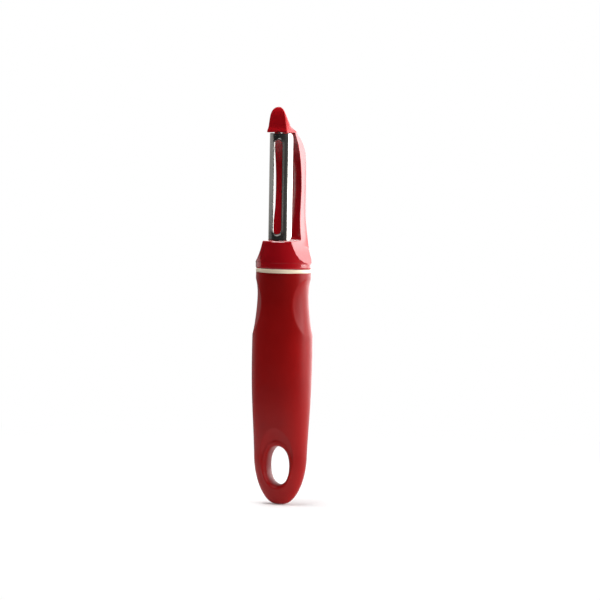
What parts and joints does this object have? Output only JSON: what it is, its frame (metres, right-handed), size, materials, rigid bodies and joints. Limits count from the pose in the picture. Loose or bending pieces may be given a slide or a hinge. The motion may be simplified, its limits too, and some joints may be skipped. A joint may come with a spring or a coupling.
{
  "type": "swivel vegetable peeler",
  "caption": "Straight hand peeler: soft handle with a hanging hole, bowed arm and a slotted steel blade that swivels along the tool's length.",
  "frame": {"origin": "the middle of the tool's box at the lowest point of the handle's rounded end", "axes": "+Z along the tool from the handle's end to the tip, -Y the front that the blade's crown faces, +X to the right seen from the front"},
  "size_m": [0.0318, 0.024, 0.205],
  "materials": {
    "soft_grip": "satin soft-touch elastomer, fine matte grain",
    "core_plastic": "moulded, matte",
    "cream_plastic": "moulded, semi-gloss",
    "gloss_red": "high gloss moulding",
    "blade_steel": "polished and lightly brushed lengthwise",
    "pin_steel": "turned",
    "bush_acetal": "moulded acetal"
  },
  "bodies": {
    "frame": {"grip_sleeve": "soft_grip", "grip_core": "core_plastic", "collar_ring": "cream_plastic", "head_frame": "gloss_red", "tip_cap": "gloss_red", "lower_bush": "bush_acetal", "upper_bush": "bush_acetal", "tang_dowels": "pin_steel"},
    "blade_unit": {"blade": "blade_steel", "lower_pivot_pin": "pin_steel", "upper_pivot_pin": "pin_steel"}
  },
  "joints": [
    {"name": "blade_swivel", "type": "hinge", "parent": "frame", "child": "blade_unit", "pos_m": [0, -0.0076, 0.164], "axis": [0, 0, 1], "range_deg": [-28, 28]}
  ]
}
